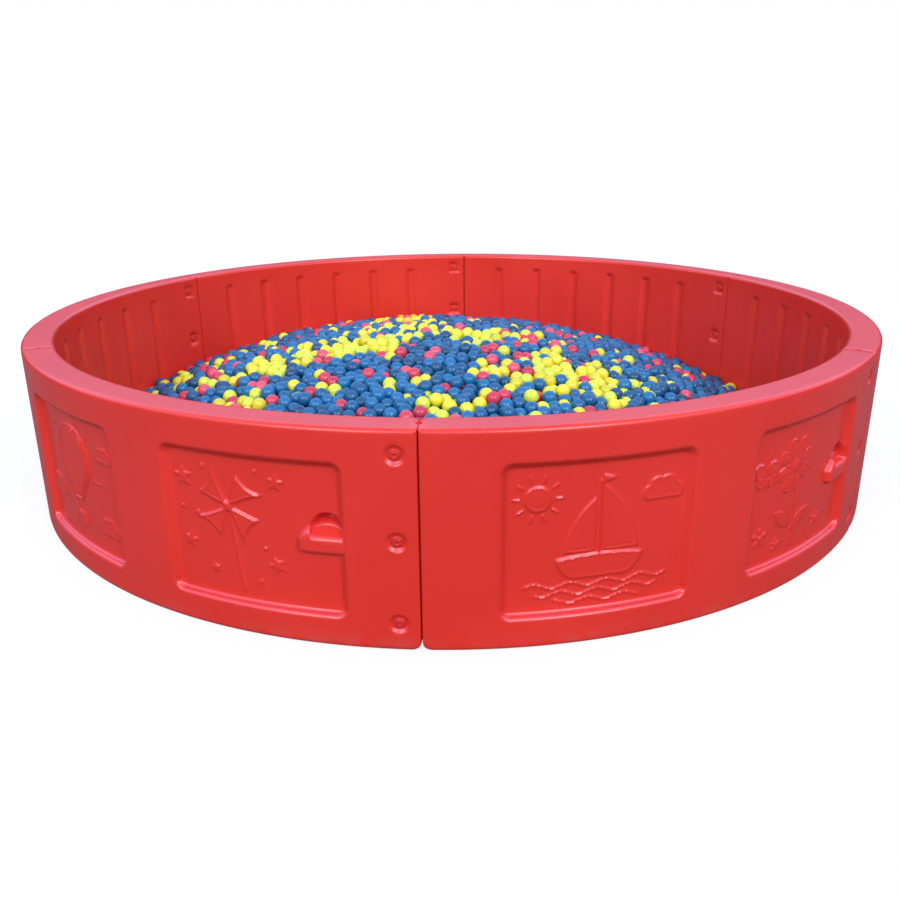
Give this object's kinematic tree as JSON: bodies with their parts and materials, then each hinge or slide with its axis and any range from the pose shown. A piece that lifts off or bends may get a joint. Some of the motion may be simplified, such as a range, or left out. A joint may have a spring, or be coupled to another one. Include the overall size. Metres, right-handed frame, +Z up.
{
  "type": "ball pit",
  "caption": "Round free-standing ball pit: a ring of bolted, curved, hollow plastic wall panels with recesses and hand grips, round a heap of small play balls.",
  "frame": {"origin": "centre of the ring, on the ground that the panels stand on", "axes": "+Z up along the ring's axis; -Y to the joint that is nearest to the viewer in the picture; +X to the viewer's right"},
  "size_m": [3, 3, 0.575],
  "materials": {
    "red_panel": "satin red moulded polyethylene",
    "red_bolt": "red plastic bolt head",
    "blue_ball": "soft blue polyethylene",
    "yellow_ball": "soft yellow polyethylene",
    "red_ball": "soft pinkish red polyethylene"
  },
  "bodies": {
    "ring_and_heap": {"wall_panel_1": "red_panel", "wall_panel_2": "red_panel", "wall_panel_3": "red_panel", "wall_panel_4": "red_panel", "wall_panel_5": "red_panel", "wall_panel_6": "red_panel", "outer_bolt_1_lower": "red_bolt", "inner_bolt_1_lower": "red_bolt", "outer_bolt_1_middle": "red_bolt", "inner_bolt_1_middle": "red_bolt", "outer_bolt_1_upper": "red_bolt", "inner_bolt_1_upper": "red_bolt", "outer_bolt_2_lower": "red_bolt", "inner_bolt_2_lower": "red_bolt", "outer_bolt_2_middle": "red_bolt", "inner_bolt_2_middle": "red_bolt", "outer_bolt_2_upper": "red_bolt", "inner_bolt_2_upper": "red_bolt", "outer_bolt_3_lower": "red_bolt", "inner_bolt_3_lower": "red_bolt", "outer_bolt_3_middle": "red_bolt", "inner_bolt_3_middle": "red_bolt", "outer_bolt_3_upper": "red_bolt", "inner_bolt_3_upper": "red_bolt", "outer_bolt_4_lower": "red_bolt", "inner_bolt_4_lower": "red_bolt", "outer_bolt_4_middle": "red_bolt", "inner_bolt_4_middle": "red_bolt", "outer_bolt_4_upper": "red_bolt", "inner_bolt_4_upper": "red_bolt", "outer_bolt_5_lower": "red_bolt", "inner_bolt_5_lower": "red_bolt", "outer_bolt_5_middle": "red_bolt", "inner_bolt_5_middle": "red_bolt", "outer_bolt_5_upper": "red_bolt", "inner_bolt_5_upper": "red_bolt", "outer_bolt_6_lower": "red_bolt", "inner_bolt_6_lower": "red_bolt", "outer_bolt_6_middle": "red_bolt", "inner_bolt_6_middle": "red_bolt", "outer_bolt_6_upper": "red_bolt", "inner_bolt_6_upper": "red_bolt", "ball_heap": "blue_ball"},
    "ball_1": {"loose_ball_1_blue": "blue_ball"},
    "ball_2": {"loose_ball_2_yellow": "yellow_ball"},
    "ball_3": {"loose_ball_3_red": "red_ball"},
    "ball_4": {"loose_ball_4_blue": "blue_ball"},
    "ball_5": {"loose_ball_5_yellow": "yellow_ball"},
    "ball_6": {"loose_ball_6_red": "red_ball"},
    "ball_7": {"loose_ball_7_blue": "blue_ball"},
    "ball_8": {"loose_ball_8_yellow": "yellow_ball"}
  },
  "joints": [
    {"name": "ball_1_lift", "type": "slide", "parent": "ring_and_heap", "child": "ball_1", "axis": [0, 0, 1], "range_m": [0, 0.6]},
    {"name": "ball_2_lift", "type": "slide", "parent": "ring_and_heap", "child": "ball_2", "axis": [0, 0, 1], "range_m": [0, 0.6]},
    {"name": "ball_3_lift", "type": "slide", "parent": "ring_and_heap", "child": "ball_3", "axis": [0, 0, 1], "range_m": [0, 0.6]},
    {"name": "ball_4_lift", "type": "slide", "parent": "ring_and_heap", "child": "ball_4", "axis": [0, 0, 1], "range_m": [0, 0.6]},
    {"name": "ball_5_lift", "type": "slide", "parent": "ring_and_heap", "child": "ball_5", "axis": [0, 0, 1], "range_m": [0, 0.6]},
    {"name": "ball_6_lift", "type": "slide", "parent": "ring_and_heap", "child": "ball_6", "axis": [0, 0, 1], "range_m": [0, 0.6]},
    {"name": "ball_7_lift", "type": "slide", "parent": "ring_and_heap", "child": "ball_7", "axis": [0, 0, 1], "range_m": [0, 0.6]},
    {"name": "ball_8_lift", "type": "slide", "parent": "ring_and_heap", "child": "ball_8", "axis": [0, 0, 1], "range_m": [0, 0.6]}
  ]
}
